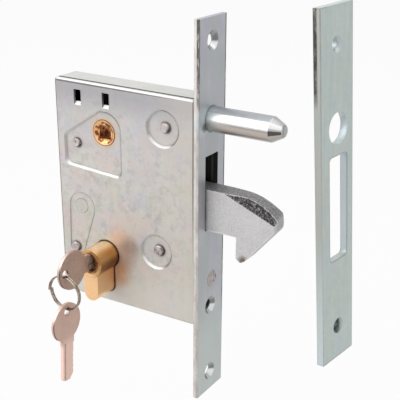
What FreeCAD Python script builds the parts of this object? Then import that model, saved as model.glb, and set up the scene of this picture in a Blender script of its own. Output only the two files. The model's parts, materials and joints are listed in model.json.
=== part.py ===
import FreeCAD, Part
import math
import os

# Mortice hook lock for a sliding gate, with its strike plate.
# Millimetres. X points out of the forend, Z is up, the cover side faces -Y.
# Pieces are drawn with x = 0 on the front face of the forend. They are written out
# with the origin on its back face, which seats on the gate, midway between its
# fixing screws.

V = FreeCAD.Vector
X_AXIS = V(1, 0, 0)
Y_AXIS = V(0, 1, 0)
Z_AXIS = V(0, 0, 1)

# Forend plate
forend_width = 27.8
forend_length = 225.0
forend_thick = 3.0
forend_screw_spacing = 200.0
screw_hole_d = 6.0
screw_head_d = 11.0
hook_slot_width = 13.2
hook_slot_low = -6.3
hook_slot_high = 37.5

# Guide pin, coned at its free end
guide_pin_z = 57.7
guide_pin_d = 14.0
guide_pin_straight = 37.5
guide_pin_reach = 44.5
guide_pin_tip_d = 6.5
guide_pin_tip_r = 1.8
guide_pin_shoulder_r = 0.6
guide_pin_shank_d = 9.0

# Flush rivet between forend and case
forend_rivet_z = -38.6
forend_rivet_side = 1.4
forend_rivet_d = 10.0
forend_rivet_shank_d = 6.0
rivet_tail = 2.0

# Case
case_depth = 98.0
case_top = 69.2
case_bottom = -66.3
case_width = 20.0
sheet = 1.5
case_bend_r = 2.0
cover_turn = 2.2
cover_end_gap = 0.6
cover_front_gap = 2.5
seam = 1.2
case_front = -forend_thick
case_back = case_front - case_depth

# Windows in the cover, placed from its back and top edges
window_width = 5.0
window_height = 9.0
window_corner_r = 0.5
window_lip = 1.9
window_first = (16.8, 9.8)
window_second = (36.8, 9.2)

# Follower and cylinder, placed from the back of the case
hub_from_back = 33.9
hub_z = 40.65
cyl_from_back = 34.2
cyl_z = -34.5
hub_at = (case_back + hub_from_back, hub_z)
cyl_at = (case_back + cyl_from_back, cyl_z)

# Pressed recesses in the cover, and a shallow drop round the lever pin
press_depth = 1.5
press_slope = 1.1
press_wall = 1.2
press_skin = 0.2
hub_recess_from_back = 35.0
hub_recess_z = 41.5
hub_recess_at = (case_back + hub_recess_from_back, hub_recess_z)
hub_recess_r = 12.3
hub_recess_top_r = 10.8
hub_recess_right = 11.7
hub_recess_left = 29.5
hub_recess_peak = 4.0
hub_recess_low = 25.3
hub_recess_fall = 1.3
hub_recess_shoulder = 5.0
hub_recess_corner_r = 4.0
round_recess_r = 11.0
upper_recess_at = (-26.0, 49.9)
hook_recess_at = (-31.3, -25.0)
drop_depth = 0.6
drop_slope = 0.6
drop_big_from_back = 16.7
drop_big_z = -7.9
drop_big_at = (case_back + drop_big_from_back, drop_big_z)
drop_big_r = 9.5
drop_small_from_back = 11.9
drop_small_z = -34.7
drop_small_at = (case_back + drop_small_from_back, drop_small_z)
drop_small_r = 5.6

# Posts and pins across the case, those at the back placed from it
upper_post_at = (-24.4, 50.8)
upper_post_d = 7.0
corner_post_from_back = 14.5
corner_post_z = 31.9
corner_post_at = (case_back + corner_post_from_back, corner_post_z)
corner_post_d = 6.2
lower_post_from_back = 11.0
lower_post_z = -34.7
lower_post_at = (case_back + lower_post_from_back, lower_post_z)
lower_post_d = 7.0
lever_pin_from_back = 16.0
lever_pin_z = -7.3
lever_pin_at = (case_back + lever_pin_from_back, lever_pin_z)
lever_pin_d = 10.0
hook_pin_at = (-29.4, -23.9)
hook_pin_d = 7.6
post_neck = 0.5
post_far_rise = 0.7
post_near_rise = 2.0
lever_pin_rise = 0.1
post_head_slope = 0.6
pivot_fit = 0.05

# Hook bolt
hook_thick = 12.0
hook_tail_thick = 6.0
hook_thick_start = -19.0
hook_reach = 46.0
hook_top = 18.7
hook_crown_in = 14.0
hook_neck_in = 1.0
hook_neck_rise = 14.0
hook_shoulder_x = 27.0
hook_shoulder_r = 30.0
hook_brow = (38.6, 13.9)
hook_brow_r = 37.0
hook_nose_z = 7.6
hook_nose_r = 5.2
hook_chin_in = 1.8
hook_chin_z = 3.0
hook_chin_r = 4.5
hook_beak_back = (24.9, -19.4)
hook_inner_x = 19.7
hook_inner_rise = 2.4
hook_arm_low = -5.6
hook_throat_x = -6.5
hook_belly_in = 7.0
hook_belly_drop = 11.0
hook_belly_r = 10.0
hook_tip = (22.5, -20.7)
hook_tip_r = 1.6
hook_nose_near = 1.9
hook_nose_near_r = 2.5
hook_nose_far = 4.1
hook_nose_far_r = 3.0
hook_boss_r = 9.0
hook_boss_out = 12.0
hook_bend_r = 6.0
hook_fillet_r = 3.0
hook_edge_r = 1.0
hook_tail_len = 21.6
hook_tail_rise = 7.6
hook_tail_drop = 4.0
hook_tail_root = 6.0
hook_tail_root_low = 11.0
hook_tail_taper = 2.0
hook_bevel_start = (11.0, 18.8)
hook_bevel_end = (35.1, 9.1)
hook_bevel_lean = 16.0
tool_size = 80.0

# Lifting lever
lever_thick = 4.0
lever_boss_r = 8.5
lever_leg_gap = 0.5
lever_leg_width = 4.6
lever_leg_low = 8.5
lever_nose_r = 3.0
lever_nose_gap = 0.7
lever_nose_in = 2.0
lever_finger_gap = 0.4
lever_top_gap = 1.25
lever_top_width = 6.0
lever_top_r = 1.5
lever_finger_lap = 2.0
lever_finger_root = 12.0
lever_finger_r = 6.0

# Follower hub
hub_d = 15.4
hub_square = 8.0
hub_rise = 0.4
hub_near_rise = 0.2
hub_mouth_r = 6.9
hub_mouth_floor_r = 5.0
hub_mouth_depth = 1.5
hub_arm_reach = 17.0
hub_arm_nose_r = 3.0
hub_arm_root_r = 3.05
hub_arm_thick = 4.0

# Cylinder
cyl_d = 17.0
cyl_drop = 24.5
cyl_lobe = 10.0
cyl_half = 27.0
cyl_clear = 0.25
cyl_cover_clear = 0.45
lobe_step = 0.5
cam_gap = 10.0
cam_width = 9.4
cam_reach = 13.5
cam_room = 0.6
cam_nose_r = 2.5
cam_root_r = 3.7
cam_nose_inset = 0.2
cam_park = 30.0
cam_ring_d = 16.0
cam_bore_r = 3.0
plug_d = 12.9
plug_fit = 0.05
plug_end_gap = 0.3
plug_inner = 4.9
plug_mouth_d = 10.6
plug_mouth_floor_d = 9.2
plug_mouth_depth = 2.5
clip_d = 10.0
clip_thick = 0.8
clip_fit = 0.05
clip_mouth = 4.4
clip_place = 5.6
keyway_width = 2.6
keyway_fit = 0.2
cyl_screw_drop = 20.8
cyl_screw_d = 5.0
forend_cyl_screw_d = 6.5
forend_cyl_head_d = 11.0
pin_count = 5
pin_d = 2.6
pin_fit = 0.1
pin_tip = 0.6
pin_first = 5.2
pin_last = 8.6
pin_shear_in = 6.15
pin_shear_out = 6.7
driver_len = 4.2
pin_spring_d = 2.2
pin_spring_play = 0.1
pin_chamber_low = 17.2
locked_rise = 1.6

# Keys
key_bow_r = 11.7
key_bow_rise = 0.8
key_thick = 2.2
key_blade_high = 9.0
key_blade_above = 1.6
key_bow_out = 16.2
key_hole_out = 7.0
key_hole_r = 2.6
key_blade_len = 21.4
key_neck_high = 10.4
key_neck_start = 7.0
key_neck_end = 1.8
key_blade_root = 8.0
key_groove = 1.3
key_groove_depth = 0.5
key_groove_start = 3.0
key_groove_left = 2.8
key_groove_right = -1.2
key_tip_slope = 3.6
key_tip_rise = 3.2
key_tip_fall = 1.8
key_tip_back = 1.6
key_tip_r = 0.6
key_cut_depth = 0.35
key_cut_run = 1.6
key_cut_flat = 0.4

# Split ring
ring_wire_d = 1.0
ring_mean_r = 10.4
ring_pitch = 1.45
ring_turns = 2
ring_hang_gap = 0.8
spare_lean = 4.2

# Springs inside the case
spring_wire_d = 1.0
spring_pitch = 1.5
spring_turns = 2
hook_spring_r = 5.6
lever_spring_r = 6.6
spring_side_gap = 0.45

# Strike plate and where it stands
strike_width = 30.0
strike_length = 200.0
strike_thick = 4.4
strike_screw_half = 80.0
strike_screw_d = 5.6
strike_head_d = 9.0
strike_pin_hole_z = 36.1
strike_pin_hole_d = 17.6
strike_slot_side = 1.0
strike_slot_high = 21.2
strike_slot_low = -38.7
strike_slot_width = 17.0
strike_slot_r = 2.5
strike_gap = 68.7
strike_side = 17.2
strike_lift = 23.0
strike_turn_x = 2.0
strike_turn_y = -3.2
strike_turn_z = -9.0

# Derived
window_places = [(case_back + x, case_top - drop) for x, drop in (window_first, window_second)]
pin_pitch = (cyl_half - pin_first - pin_last) / (pin_count - 1)
hook_tail_end = hook_pin_at[0] - hook_tail_len
hook_tail_top = hook_pin_at[1] + hook_tail_rise
lever_nose = (hook_tail_end + lever_nose_in, hook_tail_top + lever_nose_gap + lever_nose_r)
near_face = -case_width / 2
far_face = case_width / 2
near_inner = near_face + sheet
far_inner = far_face - sheet
cut_over = 1.0


def at(place, y):
    """Point of the case plane (x, z) at depth y."""
    return V(place[0], y, place[1])


def corner_data(before, corner, after, radius):
    """Tangent points and middle point of the arc that rounds one corner."""
    back = (before - corner).normalize()
    ahead = (after - corner).normalize()
    half = back.getAngle(ahead) / 2
    run = radius / math.tan(half)
    middle = (back + ahead).normalize()
    depth = radius / math.sin(half) - radius
    return corner + back * run, corner + middle * depth, corner + ahead * run


def rounded_wire(points):
    """Closed outline through corner points, each a pair of a point and its radius."""
    stops = []
    count = len(points)
    for i in range(count):
        corner, radius = points[i]
        if radius <= 0:
            stops.append((corner, None, corner))
        else:
            before = points[i - 1][0]
            after = points[(i + 1) % count][0]
            stops.append(corner_data(before, corner, after, radius))
    edges = []
    for i in range(count):
        start, middle, end = stops[i]
        if middle is not None:
            edges.append(Part.Arc(start, middle, end).toShape())
        next_start = stops[(i + 1) % count][0]
        if end.distanceToPoint(next_start) > 1e-4:
            edges.append(Part.makeLine(end, next_start))
    return Part.Wire(edges)


def side_wire(corners, y):
    """Outline in the case plane from corners (x, z, radius)."""
    return rounded_wire([(V(x, y, z), r) for x, z, r in corners])


def side_plate(corners, y_near, y_far):
    """Plate of the given side outline from y_near to y_far."""
    face = Part.Face(side_wire(corners, y_near))
    return face.extrude(Y_AXIS * (y_far - y_near))


def side_disc(place, radius, y_near, y_far):
    """Cylinder across the case."""
    return Part.makeCylinder(radius, y_far - y_near, at(place, y_near), Y_AXIS)


def block(x0, x1, y0, y1, z0, z1):
    """Box between two corners."""
    return Part.makeBox(x1 - x0, y1 - y0, z1 - z0, V(x0, y0, z0))


def two_round_wire(place_a, radius_a, place_b, radius_b, y):
    """Outline round two circles with their outer tangents."""
    a = at(place_a, y)
    b = at(place_b, y)
    along = (b - a).normalize()
    across = Y_AXIS.cross(along)
    lean = math.asin((radius_a - radius_b) / a.distanceToPoint(b))
    up = across * math.cos(lean) + along * math.sin(lean)
    down = across * -math.cos(lean) + along * math.sin(lean)
    edges = [
        Part.makeLine(a + up * radius_a, b + up * radius_b),
        Part.Arc(b + up * radius_b, b + along * radius_b, b + down * radius_b).toShape(),
        Part.makeLine(b + down * radius_b, a + down * radius_a),
        Part.Arc(a + down * radius_a, a - along * radius_a, a + up * radius_a).toShape(),
    ]
    return Part.Wire(edges)


def two_round_plate(place_a, radius_a, place_b, radius_b, y_near, y_far):
    """Plate round two circles."""
    wire = two_round_wire(place_a, radius_a, place_b, radius_b, y_near)
    return Part.Face(wire).extrude(Y_AXIS * (y_far - y_near))


def countersink(hole_d, head_d, depth, place, outward):
    """Hole with a conical seat for a sunk screw head, cut in from the outer face."""
    cone_depth = (head_d - hole_d) / 2
    cone = Part.makeCone(head_d / 2, hole_d / 2, cone_depth, place, outward * -1)
    start = place + outward * cut_over
    bore = Part.makeCylinder(hole_d / 2, depth + 2 * cut_over, start, outward * -1)
    return cone.fuse(bore)


def euro_profile(extra, y_near, y_far):
    """Round barrel with its lobe below, grown by extra all round."""
    radius = cyl_d / 2 + extra
    half = cyl_lobe / 2 + extra
    low = cyl_at[1] - cyl_drop + cyl_lobe / 2
    rise = math.sqrt(radius * radius - half * half)
    right_top = V(cyl_at[0] + half, y_near, cyl_at[1] - rise)
    left_top = V(cyl_at[0] - half, y_near, cyl_at[1] - rise)
    right_low = V(cyl_at[0] + half, y_near, low)
    left_low = V(cyl_at[0] - half, y_near, low)
    lowest = V(cyl_at[0], y_near, low - half)
    crown = V(cyl_at[0], y_near, cyl_at[1] + radius)
    edges = [
        Part.Arc(left_top, crown, right_top).toShape(),
        Part.makeLine(right_top, right_low),
        Part.Arc(right_low, lowest, left_low).toShape(),
        Part.makeLine(left_low, left_top),
    ]
    return Part.Face(Part.Wire(edges)).extrude(Y_AXIS * (y_far - y_near))


def hub_recess_corners(grow):
    """Corners of the many-sided recess round the follower."""
    x, z = hub_recess_at
    top = z + hub_recess_r + grow
    left = x - hub_recess_left - grow
    right = x + hub_recess_right + grow
    low = z - hub_recess_low - grow
    return [
        (left, low + hub_recess_fall, hub_recess_corner_r),
        (right, low - hub_recess_fall, hub_recess_corner_r),
        (right, top, hub_recess_top_r),
        (x - hub_recess_peak, top, hub_recess_corner_r),
        (left, z - hub_recess_shoulder + grow / 2, hub_recess_corner_r),
    ]


def pressed(outer, inner):
    """Sloped hollow between an outline on the outer face and a smaller one below it."""
    return Part.makeLoft([outer, inner], True, True)


def press_hollows(grow, y_top, below):
    """The four recesses as solids, grown by the sheet's wall on the inner side."""
    narrow = grow - press_slope
    y_floor = near_face + press_depth + below
    shapes = [pressed(side_wire(hub_recess_corners(grow), y_top),
                      side_wire(hub_recess_corners(narrow), y_floor))]
    for place in (upper_recess_at, hook_recess_at):
        shapes.append(Part.makeCone(round_recess_r + grow, round_recess_r + narrow,
                                    y_floor - y_top, at(place, y_top), Y_AXIS))
    narrow = grow - drop_slope
    y_floor = near_face + drop_depth + below
    shapes.append(pressed(two_round_wire(drop_big_at, drop_big_r + grow,
                                         drop_small_at, drop_small_r + grow, y_top),
                          two_round_wire(drop_big_at, drop_big_r + narrow,
                                         drop_small_at, drop_small_r + narrow, y_floor)))
    return shapes


def cover_blank():
    """Flat near sheet with its edges turned back along the top, the back and the bottom."""
    cover_end = case_front - cover_end_gap
    outer = block(case_back, cover_end, near_face, near_face + cover_turn,
                  case_bottom, case_top)
    inner = block(case_back + sheet, case_front + cut_over, near_inner,
                  near_face + cover_turn + cut_over, case_bottom + sheet, case_top - sheet)
    edges = []
    for e in outer.Edges:
        p = e.CenterOfMass
        on_near = abs(p.y - near_face) < 1e-6
        if on_near and p.x < cover_end - 1e-6:
            edges.append(e)
        elif abs(p.x - case_back) < 1e-6 and abs(e.Length - cover_turn) < 1e-6:
            edges.append(e)
    front_gap = block(case_front - cover_front_gap, case_front, near_face - cut_over, near_inner,
                      case_bottom + case_bend_r, case_top - case_bend_r)
    return outer.makeFillet(case_bend_r, edges).cut([inner, front_gap])


def case_cover():
    """Near sheet with pressed recesses, two windows, follower hole and cylinder hole."""
    blank = cover_blank()
    bulges = press_hollows(press_wall, near_face + press_skin, sheet)
    hollows = press_hollows(0.0, near_face, 0.0)
    body = blank.multiFuse(bulges)
    cuts = list(hollows)
    for place in window_places:
        cuts.append(window_cut(place))
    floor = near_face + press_depth + sheet + cut_over
    cuts.append(side_disc(hub_at, hub_d / 2 + pivot_fit, near_face, floor))
    cuts.append(euro_profile(cyl_cover_clear, near_face - cut_over, floor))
    for place, d, depth, rise in post_list():
        cuts.append(side_disc(place, d / 2 - post_neck + pivot_fit, near_face, floor))
    return body.cut(cuts)


def window_cut(place):
    """Small upright window with its lower edge sloped as it was lanced."""
    x, z = place
    half_w = window_width / 2
    half_h = window_height / 2
    slot = side_plate([(x - half_w, z - half_h + window_lip, window_corner_r),
                       (x + half_w, z - half_h + window_lip, window_corner_r),
                       (x + half_w, z + half_h, window_corner_r),
                       (x - half_w, z + half_h, window_corner_r)],
                      near_face - cut_over, near_inner + cut_over)
    low = z - half_h
    slope = Part.makePolygon([V(x - half_w, near_face, low),
                              V(x - half_w, near_face, low + window_lip + cut_over),
                              V(x - half_w, near_inner, low + window_lip + cut_over),
                              V(x - half_w, near_inner, low + window_lip),
                              V(x - half_w, near_face, low)])
    return slot.fuse(Part.Face(slope).extrude(X_AXIS * window_width))


def post_list():
    """Every post and pin across the case: place, diameter, depth of its recess, near rise."""
    return [(upper_post_at, upper_post_d, press_depth, post_near_rise),
            (corner_post_at, corner_post_d, press_depth, post_near_rise),
            (lower_post_at, lower_post_d, drop_depth, post_near_rise),
            (lever_pin_at, lever_pin_d, drop_depth, lever_pin_rise),
            (hook_pin_at, hook_pin_d, press_depth, post_near_rise)]


def case_tray():
    """Far sheet with top, back and bottom walls and a front flange behind the forend."""
    wall_start = near_face + cover_turn + seam
    outer = block(case_back, case_front, wall_start, far_face, case_bottom, case_top)
    edges = []
    for e in outer.Edges:
        p = e.CenterOfMass
        if abs(p.y - far_face) < 1e-6 and p.x < case_front - 1e-6:
            edges.append(e)
        elif abs(p.x - case_back) < 1e-6 and abs(e.Length - (far_face - wall_start)) < 1e-6:
            edges.append(e)
    outer = outer.makeFillet(case_bend_r, edges)
    inner = block(case_back + sheet, case_front - sheet, wall_start - cut_over, far_inner,
                  case_bottom + sheet, case_top - sheet)
    body = outer.cut(inner)
    cuts = [forend_slot_cut(case_front - sheet - cut_over, case_front + cut_over)]
    for y, z, d in ((0, guide_pin_z, guide_pin_shank_d),
                    (forend_rivet_side, forend_rivet_z, forend_rivet_shank_d)):
        cuts.append(Part.makeCylinder(d / 2 + pivot_fit, 3 * sheet,
                                      V(case_front - 2 * sheet, y, z), X_AXIS))
    cuts.append(Part.makeCylinder(forend_cyl_screw_d / 2, 3 * sheet,
                                  V(case_front - 2 * sheet, 0, cyl_at[1] - cyl_screw_drop),
                                  X_AXIS))
    cuts.append(side_disc(hub_at, hub_d / 2 + pivot_fit, far_inner - cut_over,
                          far_face + cut_over))
    cuts.append(euro_profile(cyl_clear, far_inner - cut_over, far_face + cut_over))
    for place, d, depth, rise in post_list():
        cuts.append(side_disc(place, d / 2 - post_neck + pivot_fit, far_inner - cut_over,
                              far_face + cut_over))
    return body.cut(cuts)


def forend_slot_cut(x0, x1):
    """Upright slot that the hook works in."""
    half = hook_slot_width / 2
    return block(x0, x1, -half, half, hook_slot_low, hook_slot_high)


def forend_plate():
    """Flat forend with sunk screw holes, hook slot and rivet holes."""
    half_w = forend_width / 2
    half_l = forend_length / 2
    plate = block(-forend_thick, 0, -half_w, half_w, -half_l, half_l)
    cuts = [forend_slot_cut(-forend_thick - cut_over, cut_over)]
    for z in (-forend_screw_spacing / 2, forend_screw_spacing / 2):
        cuts.append(countersink(screw_hole_d, screw_head_d, forend_thick, V(0, 0, z), X_AXIS))
    cuts.append(countersink(forend_cyl_screw_d, forend_cyl_head_d, forend_thick,
                            V(0, 0, cyl_at[1] - cyl_screw_drop), X_AXIS))
    cuts.append(countersink(forend_rivet_shank_d, forend_rivet_d, forend_thick,
                            V(0, forend_rivet_side, forend_rivet_z), X_AXIS))
    cuts.append(Part.makeCylinder(guide_pin_shank_d / 2, 3 * forend_thick,
                                  V(-2 * forend_thick, 0, guide_pin_z), X_AXIS))
    return plate.cut(cuts)


def forend_rivet():
    """Flush rivet that joins the forend to the flange of the tray."""
    sink = (forend_rivet_d - forend_rivet_shank_d) / 2
    shank = forend_rivet_shank_d / 2
    back = case_front - sheet
    face = V(0, forend_rivet_side, forend_rivet_z)
    head = Part.makeCone(forend_rivet_d / 2, shank, sink, face, X_AXIS * -1)
    body = Part.makeCylinder(shank, -back + rivet_tail / 2, face, X_AXIS * -1)
    tail = Part.makeCone(shank + rivet_tail / 2, shank, rivet_tail, face + X_AXIS * back,
                         X_AXIS * -1)
    return head.fuse([body, tail])


def guide_pin():
    """Fixed pin that enters the strike first, riveted through forend and flange."""
    r = guide_pin_d / 2
    shank = guide_pin_shank_d / 2
    back = case_front - sheet
    tip = guide_pin_tip_d / 2
    corners = [
        (V(back - rivet_tail, 0, 0), 0),
        (V(back - rivet_tail, 0, shank + rivet_tail / 2), 0),
        (V(back, 0, shank + rivet_tail / 2), 0),
        (V(back, 0, shank), 0),
        (V(0, 0, shank), 0),
        (V(0, 0, r), 0),
        (V(guide_pin_straight, 0, r), guide_pin_shoulder_r),
        (V(guide_pin_reach, 0, tip), guide_pin_tip_r),
        (V(guide_pin_reach, 0, 0), 0),
    ]
    face = Part.Face(rounded_wire(corners))
    pin = face.revolve(V(0, 0, 0), X_AXIS, 360)
    pin.translate(V(0, 0, guide_pin_z))
    return pin


def case_post(place, d, depth, rise):
    """Shouldered post through both sheets, its two ends proud and sloped at the rim."""
    neck = d / 2 - post_neck
    near_bearing = near_face + depth + sheet
    post = side_disc(place, d / 2, near_bearing, far_inner)
    near_end = near_face + depth - rise
    slope = min(post_head_slope, rise)
    near_neck = side_disc(place, neck, near_end + slope, near_bearing)
    near_head = Part.makeCone(neck - slope, neck, slope, at(place, near_end), Y_AXIS)
    far_neck = side_disc(place, neck, far_inner, far_face)
    far_head = Part.makeCone(neck, neck - post_head_slope, post_far_rise,
                             at(place, far_face), Y_AXIS)
    return post.fuse([near_neck, near_head, far_neck, far_head])


def hook_outline():
    """Hook as seen from the side, from its nose back to its tail."""
    px, pz = hook_pin_at
    tail_low = pz - hook_tail_drop
    belly = pz - hook_boss_r
    return [
        (hook_tail_end, hook_tail_top, hook_edge_r),
        (px - hook_tail_root, hook_tail_top, hook_fillet_r),
        (px + hook_neck_in, pz + hook_neck_rise, hook_bend_r),
        (px + hook_crown_in, hook_top, hook_bend_r),
        (hook_shoulder_x, hook_top, hook_shoulder_r),
        (hook_brow[0], hook_brow[1], hook_brow_r),
        (hook_reach, hook_nose_z, hook_nose_r),
        (hook_reach - hook_chin_in, hook_chin_z, hook_chin_r),
        (hook_beak_back[0], hook_beak_back[1], hook_fillet_r),
        (hook_tip[0], hook_tip[1], hook_tip_r),
        (hook_inner_x, hook_tip[1] + hook_inner_rise, hook_edge_r),
        (hook_inner_x, hook_arm_low, hook_edge_r),
        (hook_throat_x, hook_arm_low, hook_fillet_r),
        (hook_throat_x - hook_belly_in, hook_arm_low - hook_belly_drop, hook_belly_r),
        (px + hook_boss_out, belly, hook_bend_r),
        (px - hook_tail_root, belly, hook_bend_r),
        (px - hook_tail_root_low, tail_low, hook_bend_r),
        (hook_tail_end, tail_low + hook_tail_taper, hook_tail_taper),
    ]


def hook_bevel(side):
    """Block that takes the leaning facet off one upper edge of the nose."""
    start = V(hook_bevel_start[0], side * hook_thick / 2, hook_bevel_start[1])
    end = V(hook_bevel_end[0], side * hook_thick / 2, hook_bevel_end[1])
    along = (end - start).normalize()
    size = tool_size
    tool = Part.makeBox(size, size, size, V(0, 0, 0))
    if side > 0:
        tool.translate(V(-size / 2, 0, 0))
    else:
        tool.translate(V(-size / 2, -size, 0))
    tool.rotate(V(0, 0, 0), X_AXIS, side * hook_bevel_lean)
    turn = math.degrees(math.atan2(-along.z, along.x))
    tool.rotate(V(0, 0, 0), Y_AXIS, turn)
    tool.translate(start)
    return tool


def hook_bolt():
    """Down-pointing hook, thick outside the forend and thinned to its tail inside."""
    half = hook_thick / 2
    tail = hook_tail_thick / 2
    profile = side_plate(hook_outline(), -half, half)
    plan = [
        (V(hook_tail_end - cut_over, -tail, 0), 0),
        (V(hook_thick_start, -tail, 0), hook_edge_r),
        (V(hook_thick_start, -half, 0), hook_edge_r),
        (V(hook_reach - hook_nose_near, -half, 0), hook_nose_near_r),
        (V(hook_reach + cut_over, -cut_over, 0), hook_chin_r),
        (V(hook_reach - hook_nose_far, half, 0), hook_nose_far_r),
        (V(hook_thick_start, half, 0), hook_edge_r),
        (V(hook_thick_start, tail, 0), hook_edge_r),
        (V(hook_tail_end - cut_over, tail, 0), 0),
    ]
    wire = rounded_wire(plan)
    wire.translate(Z_AXIS * (-tool_size / 2))
    plan_solid = Part.Face(wire).extrude(Z_AXIS * tool_size)
    body = profile.common(plan_solid)
    cuts = [hook_bevel(-1), hook_bevel(1),
            side_disc(hook_pin_at, hook_pin_d / 2 + pivot_fit, -half - cut_over, half + cut_over)]
    return body.cut(cuts)


def lifting_lever():
    """Three-armed plate: a leg for the cam, a nose on the hook tail, a finger for the follower."""
    half = lever_thick / 2
    px, pz = lever_pin_at
    boss = side_disc(lever_pin_at, lever_boss_r, -half, half)
    leg_half = lever_leg_width / 2
    leg_mid = cyl_at[0] - cam_ring_d / 2 - lever_leg_gap - leg_half
    leg = two_round_plate((leg_mid, cyl_at[1] - lever_leg_low + leg_half), leg_half,
                          (leg_mid, pz - lever_boss_r / 2), leg_half, -half, half)
    nose_arm = two_round_plate(lever_pin_at, lever_boss_r, lever_nose, lever_nose_r, -half, half)
    face = hub_at[0] + hub_arm_nose_r + lever_finger_gap
    back = face + lever_top_width
    top = hub_at[1] - hub_d / 2 - lever_top_gap
    lap = lever_finger_lap
    finger = side_plate([(px - lap, pz + lap, 0), (px + lever_finger_root, pz - lap, 0),
                         (back, top - 3 * lever_top_width, lever_finger_r),
                         (back, top, lever_top_r), (face, top, lever_top_r),
                         (face, top - 2 * lever_top_width, lever_finger_r)],
                        -half, half)
    body = boss.fuse([leg, nose_arm, finger]).removeSplitter()
    return body.cut(side_disc(lever_pin_at, lever_pin_d / 2 + pivot_fit, -half - cut_over,
                              half + cut_over))


def follower_hub():
    """Brass follower with sunk ends, a square spindle hole and a short arm for the lever."""
    near = near_face + press_depth - hub_near_rise
    far = far_face + hub_rise
    barrel = side_disc(hub_at, hub_d / 2, near, far)
    half = hub_arm_thick / 2
    low = (hub_at[0], hub_at[1] - hub_arm_reach)
    arm = two_round_plate(hub_at, hub_arm_root_r, low, hub_arm_nose_r, -half, half)
    s = hub_square / 2
    hole = block(hub_at[0] - s, hub_at[0] + s, near - cut_over, far + cut_over,
                 hub_at[1] - s, hub_at[1] + s)
    mouths = [Part.makeCone(hub_mouth_r, hub_mouth_floor_r, hub_mouth_depth,
                            at(hub_at, near), Y_AXIS),
              Part.makeCone(hub_mouth_r, hub_mouth_floor_r, hub_mouth_depth,
                            at(hub_at, far), Y_AXIS * -1)]
    return barrel.fuse(arm).cut([hole] + mouths)


def pin_places(side):
    """Depths of the pin chambers on one side of the cam."""
    return [side * (cyl_half - pin_first - i * pin_pitch) for i in range(pin_count)]


def upright_pin(y, high, low, d):
    """Pin standing below the cylinder axis between two drops."""
    return Part.makeCylinder(d / 2, low - high, V(cyl_at[0], y, cyl_at[1] - low), Z_AXIS)


def cylinder_body():
    """Euro profile body with the cam gap, plug bores, pin chambers and screw hole."""
    lobe_half = cyl_half - lobe_step
    body = euro_profile(0.0, -lobe_half, lobe_half)
    body = body.fuse(side_disc(cyl_at, cyl_d / 2, -cyl_half, cyl_half)).removeSplitter()
    gap = cam_gap / 2
    cuts = [side_disc(cyl_at, cam_reach + cam_room, -gap, gap)]
    bore = plug_d / 2 + plug_fit
    cuts.append(side_disc(cyl_at, bore, -cyl_half - cut_over, cyl_half + cut_over))
    for side in (-1, 1):
        for y in pin_places(side):
            cuts.append(upright_pin(y, 0.0, pin_chamber_low, pin_d + 2 * pin_fit))
    cuts.append(Part.makeCylinder(cyl_screw_d / 2, 2 * cyl_lobe,
                                  V(cyl_at[0] - cyl_lobe, 0, cyl_at[1] - cyl_screw_drop),
                                  X_AXIS))
    return body.cut(cuts)


def keyway(y0, y1):
    """Upright slot for the key blade."""
    half = keyway_width / 2
    low = cyl_at[1] + key_blade_above - key_blade_high / 2 - keyway_fit
    return block(cyl_at[0] - half, cyl_at[0] + half, y0, y1, low, cyl_at[1] + plug_d)


def plug(side):
    """Plug of one cylinder half with sunk face, keyway, pin holes and clip groove."""
    r = plug_d / 2
    outer = side * cyl_half
    inner = side * plug_inner
    y0 = min(outer, inner)
    y1 = max(outer, inner)
    body = side_disc(cyl_at, r, y0, y1)
    cuts = [keyway(y0 - cut_over, y1 + cut_over),
            Part.makeCone(plug_mouth_d / 2, plug_mouth_floor_d / 2, plug_mouth_depth,
                          at(cyl_at, outer), Y_AXIS * -side)]
    for y in pin_places(side):
        cuts.append(upright_pin(y, 0.0, r + cut_over, pin_d + 2 * pin_fit))
    groove_mid = side * clip_place
    half = clip_thick / 2 + clip_fit
    groove = side_disc(cyl_at, r + cut_over, groove_mid - half, groove_mid + half)
    groove = groove.cut(side_disc(cyl_at, clip_d / 2 - clip_fit, y0 - cut_over, y1 + cut_over))
    cuts.append(groove)
    return body.cut(cuts)


def plug_clip(side):
    """Open spring clip in the groove of a plug."""
    mid = side * clip_place
    half = clip_mouth / 2
    ring = side_disc(cyl_at, plug_d / 2 - clip_fit, mid - clip_thick / 2, mid + clip_thick / 2)
    hole = side_disc(cyl_at, clip_d / 2, mid - cut_over, mid + cut_over)
    mouth = block(cyl_at[0] - half, cyl_at[0] + half, mid - cut_over, mid + cut_over,
                  cyl_at[1], cyl_at[1] + plug_d)
    return ring.cut([hole, mouth])


def cylinder_cam():
    """Cam between the two plugs, parked off the vertical as when the key comes out."""
    half = cam_width / 2 - cam_nose_inset
    mid = plug_inner - plug_end_gap
    ring = side_disc(cyl_at, cam_ring_d / 2, -mid, mid)
    nose_at = (cyl_at[0], cyl_at[1] - cam_reach + cam_nose_r)
    nose = two_round_plate(cyl_at, cam_root_r, nose_at, cam_nose_r, -half, half)
    body = ring.fuse(nose)
    body = body.cut(side_disc(cyl_at, cam_bore_r, -mid - cut_over, mid + cut_over))
    body.rotate(at(cyl_at, 0), Y_AXIS, cam_park)
    return body


def key_pins(side, rise):
    """Key pins inside a plug, ending at its edge."""
    top = key_blade_high / 2 - key_blade_above + keyway_fit
    pins = []
    for y in pin_places(side):
        low = pin_shear_in - rise
        shoulder = top - rise + pin_tip
        body = upright_pin(y, shoulder, low, pin_d)
        tip = Part.makeCone(pin_d / 2, pin_d / 4, pin_tip,
                            V(cyl_at[0], y, cyl_at[1] - shoulder), Z_AXIS)
        pins.append(body.fuse(tip))
    return Part.makeCompound(pins)


def driver_pins(side, rise):
    """Driver pins in the lobe, below the edge of the plug."""
    pins = []
    for y in pin_places(side):
        start = pin_shear_out - rise
        pins.append(upright_pin(y, start, start + driver_len, pin_d))
    return Part.makeCompound(pins)


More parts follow.
